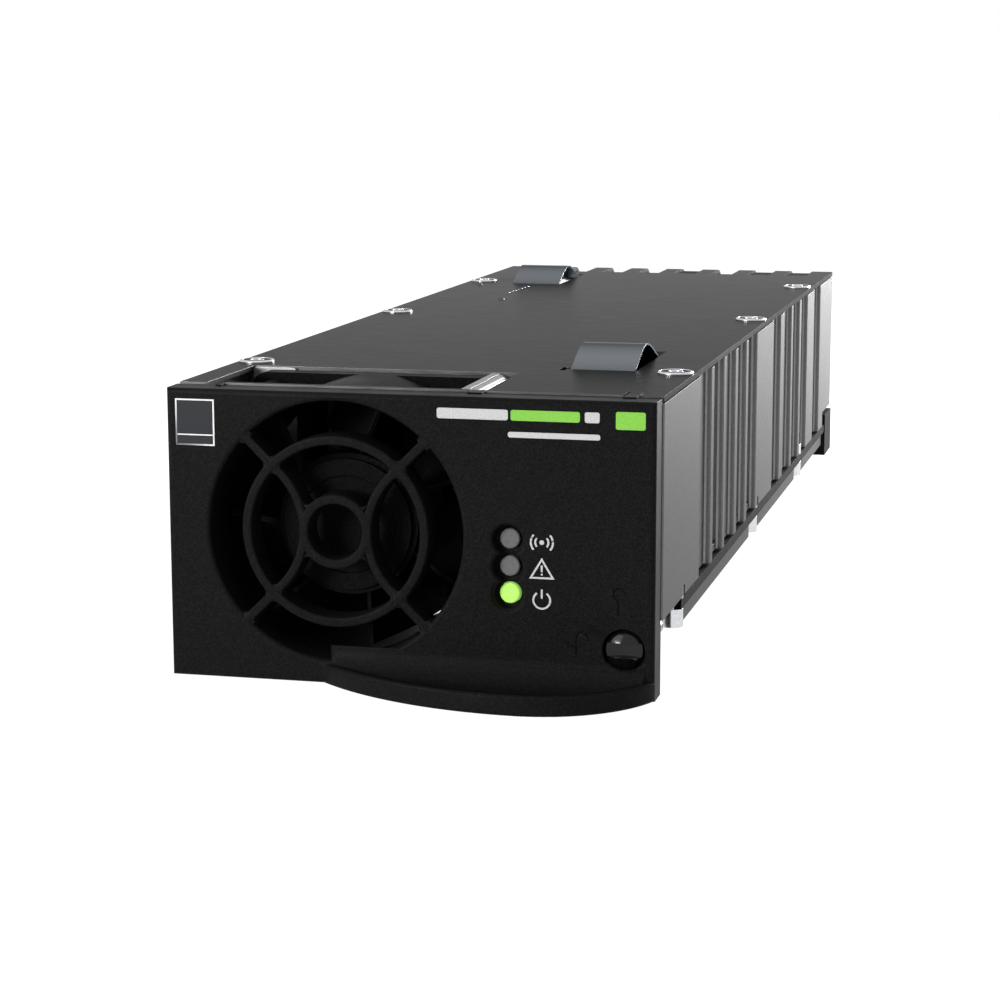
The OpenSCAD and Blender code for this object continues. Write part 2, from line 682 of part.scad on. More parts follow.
module standoffs() color("#c9ccd0") place() {
    for (p = posts) union() {
        disc([p[0], p[1], tray_z - 0.05], post_r, board_z - tray_z + 0.05);
        disc([p[0], p[1], board_z - e], 1.1, board_t + 0.1);
        disc([p[0], p[1], board_top], post_r, wall_z0 + 1.55 - board_top);
    }
}

// ---------- inner parts ----------
module can(p, r, h, soft) {
    translate(p) rotate_extrude($fn = 48) union() {
        square([r - soft, h]);
        square([r, h - soft]);
        translate([r - soft, h - soft]) circle(soft, $fn = 24);
    }
}
module bulk_capacitors() color("#1a1b1e") place() {
    for (k = [0:cap_n - 1]) difference() {
        can([cap_x, cap_y + k * cap_pitch, board_top], cap_r, cap_top - board_top, 1);
        translate([cap_x, cap_y + k * cap_pitch, cap_top - 0.4]) cylinder(r = cap_r - 1.6, h = 1);
    }
}
module input_choke() color("#7a4a22") place() {
    r = 9;
    translate([8, 46, board_top + 2 + r + 0.6]) rotate([-90, 0, 0]) rotate_extrude($fn = 64)
        translate([r - 3, 0]) rsquare(7, 11, 2);
    box([1, 40, board_top], [15, 52, board_top + 2.2]);
}
module heat_sinks() color("#a9abad") place() {
    for (x = [-30, -8.5]) {
        box([x, 58, board_top], [x + 2.4, 196, plate_z - 1]);
        for (k = [0:4]) box([x + 2.3, 58, board_top + 6 + k * 5], [x + 8.6, 196, board_top + 7 + k * 5]);
    }
}
module transformer_core() color("#2b2b2e") place() {
    difference() {
        box([5, 118, board_top], [31, 150, board_top + 26]);
        box([4, 124, board_top + 4], [32, 144, board_top + 22]);
    }
    box([14, 122, board_top + 3.9], [22, 146, board_top + 22.1]);
}
module transformer_winding() color("#b07a3c") place() {
    difference() {
        box([7, 124.3, board_top + 4.3], [29, 143.7, board_top + 21.7]);
        box([13.7, 124, board_top + 4], [22.3, 144, board_top + 22]);
    }
}
module control_board() color("#1e3a26") place() {
    box([-17.5, 60, board_top], [-16.3, 150, board_top + 24]);
    for (y = [66:14:136]) box([-16.31, y, board_top + 6], [-15, y + 8, board_top + 14]);
}
module output_capacitors() color("#2a3550") place() {
    for (x = [8, 19, 30 - 1.8], y = [166, 178]) can([x - 0.4, y, board_top], 5, 21, 0.7);
}
module output_choke() color("#3b3d40") place()
    translate([15, 195, board_top]) linear_extrude(17) rsquare(19, 12, 1.5);

// ---------- rear ----------
rear_y = case_y1 - 8;
module rear_frame() color("#161617") place() {
    x0 = case_x - wall_in + 0.3;
    x1 = case_x + wall_in - 0.3;
    z0 = plug_z + plug_h;
    z1 = plate_z - 3.6;
    difference() {
        box([x0, rear_y, z0], [x1, rear_y + 2.6, z1]);
        for (k = [0:7]) {
            a = notch_x0 + k * notch_pitch - 0.6;
            box([max(a, x0 + 1.2), rear_y - 1, z0 + 2], [min(a + notch_w + 1.2, x1 - 1.2), rear_y + 4, z1 - 2.2]);
        }
    }
    // lugs that stand up into three of the cover's notches
    for (k = lugs) {
        a = notch_x0 + k * notch_pitch;
        box([a + 0.3, rear_y, z1 - 1], [a + notch_w - 0.3, rear_y + 2.6, case_top - 0.45]);
        box([a + 0.3, case_y1 - notch_d + 0.3, plate_z - 1.2], [a + notch_w - 0.3, case_y1 + 0.4, case_top - 0.45]);
    }
}
module rear_connector() color("#161617") place() {
    difference() {
        union() {
            box([plug_x0, plug_y0, plug_z], [plug_x1, plug_y1, plug_z + plug_h - 1]);
            box([plug_x0 + 1, plug_y0, plug_z], [plug_x1 - 1, plug_y1, plug_z + plug_h]);
        }
        for (k = [0:5]) box([plug_x0 + 3 + k * 5.6, plug_y1 - 8, plug_z + 1.4],
                            [plug_x0 + 6.4 + k * 5.6, plug_y1 + 1, plug_z + plug_h - 1.4]);
        box([plug_x0 + 38, plug_y1 - 6, plug_z + 1.6], [plug_x1 - 3, plug_y1 + 1, plug_z + plug_h - 1.6]);
    }
}
module power_contacts() color("#c8a860") place() {
    for (k = [0:5]) box([plug_x0 + 4.2 + k * 5.6, plug_y1 - 8, plug_z + 1.9],
                        [plug_x0 + 5.2 + k * 5.6, plug_y1 - 1, plug_z + plug_h - 1.9]);
}
module signal_contacts() color("#c8a860") place() {
    for (i = [0:6], j = [0:2])
        box([plug_x0 + 40 + i * 2.54, plug_y1 - 6, plug_z + 2.4 + j * 2.2],
            [plug_x0 + 40.64 + i * 2.54, plug_y1 - 1.2, plug_z + 3.04 + j * 2.2]);
}

front_bezel();
lock_screw();
light_top();
light_middle();
light_bottom();
light_board();
fan_frame();
fan_rotor();
fan_blades();
fan_stator();
fan_screws();
front_strip();
air_baffle();
top_cover();
cover_screws();
spring_front();
spring_rear();
wall_right();
wall_left();
main_board();
bottom_tray();
standoffs();
bulk_capacitors();
input_choke();
heat_sinks();
transformer_core();
transformer_winding();
control_board();
output_capacitors();
output_choke();
rear_frame();
rear_connector();
power_contacts();
signal_contacts();
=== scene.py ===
"""Finishes the rectifier module: its materials, printed marks, fixings and studio."""

import math

import bmesh
import bpy
from bpy.props import FloatProperty, FloatVectorProperty, IntProperty, PointerProperty
from mathutils import Matrix, Vector


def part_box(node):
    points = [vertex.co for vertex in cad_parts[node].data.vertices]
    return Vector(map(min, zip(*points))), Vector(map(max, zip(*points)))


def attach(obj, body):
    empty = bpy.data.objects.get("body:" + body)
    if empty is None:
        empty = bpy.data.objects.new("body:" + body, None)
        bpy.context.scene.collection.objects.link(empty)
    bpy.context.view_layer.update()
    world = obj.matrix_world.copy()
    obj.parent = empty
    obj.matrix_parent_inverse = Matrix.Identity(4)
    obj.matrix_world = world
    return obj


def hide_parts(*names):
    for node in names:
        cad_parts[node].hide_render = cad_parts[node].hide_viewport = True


bl_info = {
    "name": "Rectifier Module Finisher",
    "version": (1, 0, 0),
    "blender": (4, 5, 0),
    "location": "View3D > Sidebar > Rectifier",
    "description": "Finishes, marks and fixings for a hot-plug rectifier module",
    "category": "Object",
}

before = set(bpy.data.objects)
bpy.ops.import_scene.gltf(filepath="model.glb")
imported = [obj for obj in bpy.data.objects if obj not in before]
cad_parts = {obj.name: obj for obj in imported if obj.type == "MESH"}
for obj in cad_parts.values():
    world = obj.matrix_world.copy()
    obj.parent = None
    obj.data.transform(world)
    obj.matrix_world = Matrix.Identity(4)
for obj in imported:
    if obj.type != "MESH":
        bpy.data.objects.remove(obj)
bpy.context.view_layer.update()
MM = 0.001

# Every size is taken from the bezel's centre line, face and underside.
# The walls start this many mm behind the face.
WALL_SETBACK = 5
BEZEL_LOW, BEZEL_HIGH = (Vector(corner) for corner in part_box("front_bezel"))
WALL_LOW = Vector(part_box("wall_right")[0])
DATUM = Vector(((BEZEL_LOW.x + BEZEL_HIGH.x) / 2, WALL_LOW.y - WALL_SETBACK * MM, BEZEL_LOW.z))

# Vertices closer than this, in mm, are one vertex: in a made mesh, and in a copy of a CAD part.
WELD = 0.001
CAD_WELD = 0.0005


def spot(x, y, z):
    """A point given in mm to the right of the centre line, behind the face and above the underside."""
    return DATUM + Vector((x, y, z)) * MM


def colour(grey, green=None, blue=None):
    """A colour for a shader's socket, from one grey or from red, green and blue."""
    return (grey, grey if green is None else green, grey if blue is None else blue, 1)


# ---------------------------------------------------------------- finishes


class Finish:
    """One procedural material, read from Object coordinates."""

    def __init__(self, name, base, roughness, metallic=0.0, **sockets):
        self.material = bpy.data.materials.new(name)
        self.material.use_nodes = True
        self.tree = self.material.node_tree
        self.shader = self.tree.nodes["Principled BSDF"]
        self.shader.inputs["Base Color"].default_value = base
        self.shader.inputs["Roughness"].default_value = roughness
        self.shader.inputs["Metallic"].default_value = metallic
        for socket, value in sockets.items():
            self.shader.inputs[socket.replace("_", " ")].default_value = value
        self.place = self.node("ShaderNodeTexCoord").outputs["Object"]
        self.base = base
        self.normal = None

    def node(self, kind, inputs=None, **settings):
        made = self.tree.nodes.new(kind)
        for key, value in settings.items():
            setattr(made, key, value)
        for key, value in (inputs or {}).items():
            if isinstance(value, bpy.types.NodeSocket):
                self.tree.links.new(value, made.inputs[key])
            else:
                made.inputs[key].default_value = value
        return made

    def stretched(self, stretch):
        """Coordinates in mm, drawn out along the axes with small numbers."""
        return self.node("ShaderNodeMapping", {
            "Vector": self.place, "Scale": [s / MM for s in stretch]}).outputs["Vector"]

    def grain(self, size, stretch=(1, 1, 1), detail=2.0, rough=0.5):
        """Noise whose lumps are about size mm across."""
        return self.node("ShaderNodeTexNoise", {
            "Vector": self.stretched(stretch), "Scale": 1 / size, "Detail": detail,
            "Roughness": rough}).outputs["Fac"]

    def ramp(self, factor, low, high, start=0.3, end=0.7):
        """A colour that runs from low to high as the factor passes from start to end."""
        made = self.node("ShaderNodeValToRGB", {"Fac": factor})
        made.color_ramp.elements[0].position, made.color_ramp.elements[0].color = start, low
        made.color_ramp.elements[1].position, made.color_ramp.elements[1].color = end, high
        return made.outputs["Color"]

    def scaled(self, factor, low, high, start=0.3, end=0.7):
        """A number that runs from low to high as the factor passes from start to end."""
        return self.node("ShaderNodeMapRange", {
            "Value": factor, "From Min": start, "From Max": end,
            "To Min": low, "To Max": high}).outputs["Result"]

    def tint(self, factor, low, high, start=0.3, end=0.7):
        """Varies the base colour between two shares of itself."""
        shades = [tuple(c * share for c in self.base[:3]) + (1,) for share in (low, high)]
        self.tree.links.new(self.ramp(factor, *shades, start, end), self.shader.inputs["Base Color"])
        return self

    def polish(self, factor, low, high, start=0.3, end=0.7):
        """Varies the roughness between two values."""
        self.tree.links.new(self.scaled(factor, low, high, start, end), self.shader.inputs["Roughness"])
        return self

    def soften(self, radius):
        """Rounds the look of sharp edges by a radius in mm."""
        self.normal = self.node("ShaderNodeBevel", {"Radius": radius * MM}, samples=6).outputs["Normal"]
        self.tree.links.new(self.normal, self.shader.inputs["Normal"])
        return self

    def emboss(self, height, depth, strength=1.0):
        """Raises the surface by up to depth mm where the height is 1."""
        inputs = {"Height": height, "Strength": strength, "Distance": depth * MM}
        if self.normal:
            inputs["Normal"] = self.normal
        self.normal = self.node("ShaderNodeBump", inputs).outputs["Normal"]
        self.tree.links.new(self.normal, self.shader.inputs["Normal"])
        return self


def moulded_plastic(name, base, roughness=0.42, grain=0.22, depth=0.012, edge=0.12, gloss=0.03):
    """Moulded plastic with a fine spark-eroded grain and slightly polished patches."""
    made = Finish(name, base, roughness, Specular_IOR_Level=gloss)
    made.soften(edge)
    speck = made.grain(grain, detail=3)
    made.tint(speck, 0.55, 1.7, 0.35, 0.7)
    made.polish(made.grain(9, detail=1), roughness - 0.05, roughness + 0.07)
    return made.emboss(speck, depth)


def bright_metal(name, base, roughness, grain=0.3, stretch=(1, 1, 1), depth=0.004, edge=0.08, vary=(0.9, 1.08),
                 rim=1.0):
    """Bare or plated metal, with a grain that the stretch draws out into a brushing."""
    made = Finish(name, base, roughness, 1.0, Specular_Tint=colour(rim))
    made.soften(edge)
    grains = made.grain(grain, stretch, detail=4, rough=0.6)
    made.tint(grains, *vary)
    made.polish(made.grain(grain * 2.3, stretch), roughness * 0.88, roughness * 1.15)
    return made.emboss(grains, depth)


def ink(name, base, glow=0.0):
    """Printed ink, slightly uneven, lying on the plastic's grain."""
    made = Finish(name, base, 0.5, Specular_IOR_Level=0.2, Emission_Color=base, Emission_Strength=glow)
    made.tint(made.grain(0.25, detail=3), 0.86, 1.08)
    return made.emboss(made.grain(0.22), 0.006)


def build_finishes(look):
    """Every finish of the module by its name."""
    lamp = colour(*look.lamp_colour)
    made = {
        "bezel": moulded_plastic("bezel_plastic_finish", colour(*look.plastic_colour), 0.48, gloss=0.035),
        "lock": moulded_plastic("lock_plastic_finish", colour(0.003), 0.13, 0.5, 0.001, 0.1, 0.3),
        "cover": bright_metal("cover_sheet_finish", colour(*look.cover_colour), 0.3, 0.12, (0.06, 1, 1),
                              0.0008, vary=(0.96, 1.04), rim=0.22),
        "wall": bright_metal("wall_metal_finish", colour(*look.wall_colour), 0.42, 0.28, depth=0.016,
                             vary=(0.84, 1.14), rim=0.32),
        "spring": bright_metal("spring_steel_finish", colour(0.2, 0.215, 0.23), 0.22, 0.1, (0.05, 1, 1),
                               0.0004, vary=(0.95, 1.05), rim=0.3),
        "zinc": bright_metal("zinc_finish", colour(0.6, 0.61, 0.63), 0.2, 0.5, depth=0.001, rim=0.8),
        # A darker copy of the zinc: painted shade on the cover screws' faces, and a dull zinc for the pressed
        # marks.
        "dull_and_shaded_zinc": bright_metal("dull_zinc_finish", colour(0.12, 0.13, 0.145), 0.3, 0.3, depth=0.001, rim=0.25),
        "rolled": bright_metal("bright_sheet_finish", colour(0.4), 0.34, 0.25, (1, 1, 0.4), 0.01, rim=0.5),
        "tray": bright_metal("tray_sheet_finish", colour(0.16), 0.36, 0.15, (0.08, 1, 1), 0.002, rim=0.35),
        "copper": bright_metal("copper_finish", colour(0.72, 0.33, 0.16), 0.32, 0.2, (1, 1, 0.2)),
        "gold": bright_metal("gold_finish", colour(0.85, 0.6, 0.25), 0.22, 0.3),
        "fan": moulded_plastic("fan_plastic_finish", colour(0.005), 0.5, 0.3, 0.003, 0.06, 0.02),
        "ferrite": moulded_plastic("ferrite_finish", colour(0.03), 0.6, 0.25, 0.01),
        "sleeve_black": moulded_plastic("sleeve_black_finish", colour(0.004), 0.42, 1.4, 0.004, 0.2, 0.02),
        "sleeve_blue": moulded_plastic("sleeve_blue_finish", colour(0.02, 0.05, 0.14), 0.28, 1.4, 0.006, 0.2),
        "frame_plastic": moulded_plastic("frame_plastic_finish", colour(0.006), 0.6, 0.25, 0.006, gloss=0.015),
        "board": moulded_plastic("board_black_finish", colour(0.005), 0.6, 0.5, 0.004, 0.05, 0.015),
        "board_green": moulded_plastic("board_green_finish", colour(0.012, 0.07, 0.03), 0.34, 0.5, 0.006, 0.05),
        "pale_ink": ink("pale_ink_finish", colour(0.5)),
        "white_ink": ink("white_ink_finish", colour(0.75)),
        "green_ink": ink("green_ink_finish", colour(0.2, 0.5, 0.06)),
        "field_ink": ink("field_ink_finish", colour(0.012, 0.013, 0.017)),
        "light_grey": ink("light_grey_finish", colour(0.13)),
        "light_lit": ink("light_lit_finish", lamp, 0.55),
    }
    return {name: finish.material for name, finish in made.items()}


NODE_FINISH = {
    "front_bezel": "bezel", "lock_screw": "lock", "light_board": "board_green",
    "fan_frame": "fan", "fan_rotor": "fan", "fan_blades": "fan", "fan_stator": "copper",
    "fan_screws": "zinc", "front_strip": "cover", "air_baffle": "rolled",
    "top_cover": "cover", "cover_screws": "zinc", "spring_front": "spring",
    "spring_rear": "spring", "wall_right": "wall", "wall_left": "wall",
    "main_board": "board", "bottom_tray": "tray", "standoffs": "zinc",
    "bulk_capacitors": "sleeve_black", "input_choke": "copper", "heat_sinks": "wall",
    "transformer_core": "ferrite", "transformer_winding": "copper",
    "control_board": "board_green", "output_capacitors": "sleeve_blue",
    "output_choke": "ferrite", "rear_frame": "frame_plastic",
    "rear_connector": "frame_plastic", "power_contacts": "gold", "signal_contacts": "gold",
    "light_top": "light_grey", "light_middle": "light_grey", "light_bottom": "light_lit",
}
FINISHES = {}


# ---------------------------------------------------------------- shaping


def show(name, mesh, finishes, body="module"):
    """Puts a finished mesh into the scene and lets it move with a body."""
    for finish in finishes:
        mesh.materials.append(FINISHES[finish])
    piece = bpy.data.objects.new(name, mesh)
    bpy.context.scene.collection.objects.link(piece)
    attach(piece, body)
    return piece


def mesh_of(name, bm, smooth=35):
    """A mesh with its faces turned outwards and smooth up to an angle in degrees."""
    bmesh.ops.remove_doubles(bm, verts=bm.verts, dist=WELD * MM)
    bmesh.ops.recalc_face_normals(bm, faces=bm.faces)
    mesh = bpy.data.meshes.new(name)
    bm.to_mesh(mesh)
    bm.free()
    mesh.shade_smooth()
    mesh.set_sharp_from_angle(angle=math.radians(smooth))
    return mesh


def plate(bm, outline, front, back):
    """Adds a plate whose outline is given in mm across and up, between two depths behind the face."""
    rings = [[bm.verts.new(spot(x, y, z)) for x, z in outline] for y in (front, back)]
    count = len(outline)
    bm.faces.new(rings[0])
    bm.faces.new(list(reversed(rings[1])))
    for i in range(count):
        j = (i + 1) % count
        bm.faces.new((rings[0][i], rings[1][i], rings[1][j], rings[0][j]))


def stroke(bm, path, width, front, back, closed=False):
    """Adds a line of constant width along a path in mm, mitred at its corners."""
    points = [Vector(p) for p in path]
    count = len(points)
    sides = []
    for i, point in enumerate(points):
        before = points[i - 1] if i or closed else None
        after = points[(i + 1) % count] if i < count - 1 or closed else None
        ways = [(b - a).normalized() for a, b in ((before, point), (point, after))
                if a is not None and b is not None]
        normals = [Vector((-w.y, w.x)) for w in ways]
        middle = sum(normals, Vector((0, 0))).normalized()
        reach = width / 2 / max(middle.dot(normals[0]), 0.4)
        sides.append((point + middle * reach, point - middle * reach))
    for i in range(count if closed else count - 1):
        (a, b), (c, d) = sides[i], sides[(i + 1) % count]
        plate(bm, (a, b, d, c), front, back)


def arc(x, z, radius, start, end, steps=16):
    """Points in mm on an arc between two angles in degrees."""
    angles = [math.radians(start + (end - start) * i / steps) for i in range(steps + 1)]
    return [(x + radius * math.cos(a), z + radius * math.sin(a)) for a in angles]


def round_box(x0, z0, x1, z1, radius, steps=5):
    """The outline in mm of a rectangle with round corners."""
    corners = ((x1 - radius, z1 - radius, 0), (x0 + radius, z1 - radius, 90),
               (x0 + radius, z0 + radius, 180), (x1 - radius, z0 + radius, 270))
    return [p for x, z, a in corners for p in arc(x, z, radius, a, a + 90, steps)]


def turned(name, profile, segments=48):
    """A mesh turned about Z from a profile of radius and height in mm, closed on the axis."""
    bm = bmesh.new()
    rings = []
    for radius, height in profile:
        if radius == 0:
            rings.append([bm.verts.new((0, 0, height * MM))])
        else:
            rings.append([bm.verts.new((radius * MM * math.cos(a), radius * MM * math.sin(a), height * MM))
                          for a in (2 * math.pi * i / segments for i in range(segments))])
    for low, high in zip(rings, rings[1:]):
        for i in range(segments):
            j = (i + 1) % segments
            corners = [low[i % len(low)], low[j % len(low)], high[j % len(high)], high[i % len(high)]]
            bm.faces.new(list(dict.fromkeys(corners)))
    return mesh_of(name, bm, 30)


def repeat_tree():
    """Geometry Nodes that set one piece at each point, turned a little further each time."""
    tree = bpy.data.node_groups.new("Repeat On Points", "GeometryNodeTree")
    face = tree.interface
    face.new_socket("Geometry", in_out="INPUT", socket_type="NodeSocketGeometry")
    for name, kind in (("Piece", "Object"), ("Turn", "Float"), ("Size", "Float"), ("Finish", "Material")):
        face.new_socket(name, in_out="INPUT", socket_type="NodeSocket" + kind)
    face.new_socket("Geometry", in_out="OUTPUT", socket_type="NodeSocketGeometry")
    nodes, link = tree.nodes, tree.links.new
    given, result = nodes.new("NodeGroupInput"), nodes.new("NodeGroupOutput")
    piece, index, turn = (nodes.new(kind) for kind in (
        "GeometryNodeObjectInfo", "GeometryNodeInputIndex", "ShaderNodeMath"))
    turn.operation = "MULTIPLY"
    spin, place = nodes.new("ShaderNodeCombineXYZ"), nodes.new("GeometryNodeInstanceOnPoints")
    real, paint = nodes.new("GeometryNodeRealizeInstances"), nodes.new("GeometryNodeSetMaterial")
    link(given.outputs["Piece"], piece.inputs["Object"])
    link(index.outputs[0], turn.inputs[0])
    link(given.outputs["Turn"], turn.inputs[1])
    link(turn.outputs[0], spin.inputs["Z"])
    link(given.outputs["Geometry"], place.inputs["Points"])
    link(piece.outputs["Geometry"], place.inputs["Instance"])
    link(spin.outputs[0], place.inputs["Rotation"])
    link(given.outputs["Size"], place.inputs["Scale"])
    link(place.outputs[0], real.inputs[0])
    link(real.outputs[0], paint.inputs["Geometry"])
    link(given.outputs["Finish"], paint.inputs["Material"])
    link(paint.outputs[0], result.inputs[0])
    return tree


def repeat(name, points, unit, finish, turn=0.0, size=1.0):
    """Sets a unit mesh at each point with the Repeat On Points tree, baked into one plain mesh."""
    tree = bpy.data.node_groups.get("Repeat On Points") or repeat_tree()
    holder = bpy.data.objects.new(name + "_unit", unit)
    spots = bpy.data.meshes.new(name + "_points")
    spots.from_pydata([tuple(p) for p in points], [], [])
    carrier = bpy.data.objects.new(name + "_carrier", spots)
    for made in (holder, carrier):
        bpy.context.scene.collection.objects.link(made)
    steps = carrier.modifiers.new("repeat", "NODES")
    steps.node_group = tree
    values = {"Piece": holder, "Turn": turn, "Size": size, "Finish": FINISHES[finish]}
    for socket in tree.interface.items_tree:
        if socket.in_out == "INPUT" and socket.name in values:
            steps[socket.identifier] = values[socket.name]
    bpy.context.view_layer.update()
    ready = carrier.evaluated_get(bpy.context.evaluated_depsgraph_get())
    mesh = bpy.data.meshes.new_from_object(ready)
    mesh.materials.clear()
    for made in (holder, carrier):
        bpy.data.objects.remove(made)
    return show(name, mesh, [finish])


def merged_copy(node):
    """A bmesh of a CAD part with its loose triangles joined."""
    bm = bmesh.new()
    bm.from_mesh(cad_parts[node].data)
    bmesh.ops.remove_doubles(bm, verts=bm.verts, dist=CAD_WELD * MM)
    return bm


# ---------------------------------------------------------------- settings


class RectifierFinishSettings(bpy.types.PropertyGroup):
    """Colours of the main surfaces."""

    plastic_colour: FloatVectorProperty(
        name="Bezel plastic", description="Colour of the moulded bezel",
        subtype="COLOR", size=3, min=0, max=1, default=(0.006, 0.006, 0.0062))
    cover_colour: FloatVectorProperty(
        name="Cover sheet", description="Colour of the brushed top sheet",
        subtype="COLOR", size=3, min=0, max=1, default=(0.135, 0.135, 0.135))
    wall_colour: FloatVectorProperty(
        name="Side walls", description="Colour of the side walls",
        subtype="COLOR", size=3, min=0, max=1, default=(0.2, 0.2, 0.2))
    lamp_colour: FloatVectorProperty(
        name="Lit indicator", description="Colour of the lowest indicator while it is lit",
        subtype="COLOR", size=3, min=0, max=1, default=(0.36, 0.7, 0.12))


class RectifierMarkSettings(bpy.types.PropertyGroup):
    """Printed and engraved marks of the bezel."""

    ink_height: FloatProperty(
        name="Ink", description="Thickness of the printed marks in mm", default=0.03, min=0.01, max=0.1)
    line_width: FloatProperty(
        name="Symbol lines", description="Width of the symbols' lines in mm", default=0.27, min=0.1, max=0.6)
    symbol_x: FloatProperty(
        name="Symbols", description="Middle of the symbols, in mm from the bezel's middle", default=19.8)
    engraving: FloatProperty(
        name="Engraving", description="Depth of the engraved shackle lines in mm", default=0.16, min=0.05, max=0.4)


class RectifierCoverSettings(bpy.types.PropertyGroup):
    """Fixings and pressed marks of the top cover."""

    dots: IntProperty(
        name="Dots", description="Number of dots in the row by the rear spring", default=7, min=1, max=12)
    spring_rise: FloatProperty(
        name="Spring rise", description="Height of a spring above the cover in mm", default=2.98, min=1, max=3)


class RectifierStageSettings(bpy.types.PropertyGroup):
    """Studio, floor and camera."""

    floor_size: FloatProperty(
        name="Floor size", description="Length of the floor's sides",
        unit="LENGTH", default=6.0, min=1)
    lens: FloatProperty(
        name="Lens", description="Focal length in mm on a 36 mm sensor", default=90.608, min=20)
    key_power: FloatProperty(
        name="Front softbox", description="Power of the large lamp at the front left",
        unit="POWER", default=4.0, min=0)
    left_power: FloatProperty(
        name="Left softbox", description="Power of the small lamp at the front left",
        unit="POWER", default=3.0, min=0)
    strip_power: FloatProperty(
        name="Rear strip", description="Power of the tall lamp at the rear right",
        unit="POWER", default=5.0, min=0)
    top_power: FloatProperty(
        name="Top softbox", description="Power of the lamp overhead",
        unit="POWER", default=0.5, min=0)
    world_level: FloatProperty(
        name="Room light", description="Strength of the light from all round",
        default=0.45, min=0)


# ---------------------------------------------------------------- operators


class RECTIFIER_OT_finishes(bpy.types.Operator):
    """Give every CAD part its finish"""

    bl_idname = "rectifier.finishes"
    bl_label = "Finish the Parts"

    def execute(self, context):
        look = context.scene.rectifier_finish
        FINISHES.update(build_finishes(look))
        for node, finish in NODE_FINISH.items():
            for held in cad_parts[node].material_slots:
                held.material = FINISHES[finish]
        return {"FINISHED"}


# Shackle lines of the open and the closed padlock, in mm across and up.
OPEN_SHACKLE = ((31.99, 15.56), (31.39, 16.1), (30.7, 16.24), (30.2, 15.8), (30.14, 15.14),
                (30.53, 14.56), (30.83, 14.19), (30.84, 12.38))
CLOSED_SHACKLE = ((24.86, 6.36), (24.85, 8.91), (25.1, 9.46), (25.58, 9.73), (26.13, 9.54),
                  (26.48, 9.06), (26.56, 8.4))
# Width of a shackle line, and how far its cutter starts before the face, in mm.
SHACKLE_WIDTH = 0.26
CUTTER_START = -0.1


class RECTIFIER_OT_bezel(bpy.types.Operator):
    """Engrave the shackle lines of an open and a closed padlock beside the lock screw"""

    bl_idname = "rectifier.bezel"
    bl_label = "Engrave the Bezel"

    def execute(self, context):
        depth = context.scene.rectifier_marks.engraving
        cuts = bmesh.new()
        for path in (OPEN_SHACKLE, CLOSED_SHACKLE):
            stroke(cuts, path, SHACKLE_WIDTH, CUTTER_START, depth)
        cutter = bpy.data.objects.new("padlock_cutter", mesh_of("padlock_cutter", cuts))
        base = bpy.data.objects.new("bezel_base", mesh_of("bezel_base", merged_copy("front_bezel"), 30))
        for made in (cutter, base):
            context.scene.collection.objects.link(made)
        cut = base.modifiers.new("engrave", "BOOLEAN")
        cut.operation, cut.solver, cut.object = "DIFFERENCE", "EXACT", cutter
        cut.use_self = True
        context.view_layer.update()
        mesh = bpy.data.meshes.new_from_object(base.evaluated_get(context.evaluated_depsgraph_get()))
        mesh.materials.clear()
        mesh.name = "bezel_moulding"
        for made in (cutter, base):
            bpy.data.objects.remove(made)
        mesh.shade_smooth()
        mesh.set_sharp_from_angle(angle=math.radians(24))
        piece = show("bezel_moulding", mesh, ["bezel"])
        weigh = piece.modifiers.new("even_shading", "WEIGHTED_NORMAL")
        weigh.keep_sharp = True
        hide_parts("front_bezel")
        return {"FINISHED"}


# Plain bars in mm: left, low, right and high edge.
GREY_BARS = ((4.6, 39.5, 14.9, 41.0), (25.9, 39.5, 28.0, 41.0), (14.9, 37.1, 28.1, 37.9))
GREEN_BARS = ((15.3, 39.5, 25.2, 41.0), (30.3, 38.7, 34.5, 41.2))
BAR_CORNER = 0.3
# The label at the bezel's upper left: its border, its divider and the field under them, in mm.
LABEL_BORDER = [(-34.45, 34.45), (-28.75, 34.45), (-28.75, 41.0), (-34.45, 41.0)]
LABEL_DIVIDER = [(-34.4, 35.9), (-28.8, 35.9)]
LABEL_FIELD = [(-34.5, 34.4), (-28.7, 34.4), (-28.7, 41.05), (-34.5, 41.05)]
BORDER_WIDTH = 0.22
DIVIDER_WIDTH = 0.18
# Heights in mm of the signal's and the power symbol's middles.
SIGNAL_Z = 22.3
POWER_Z = 14.0


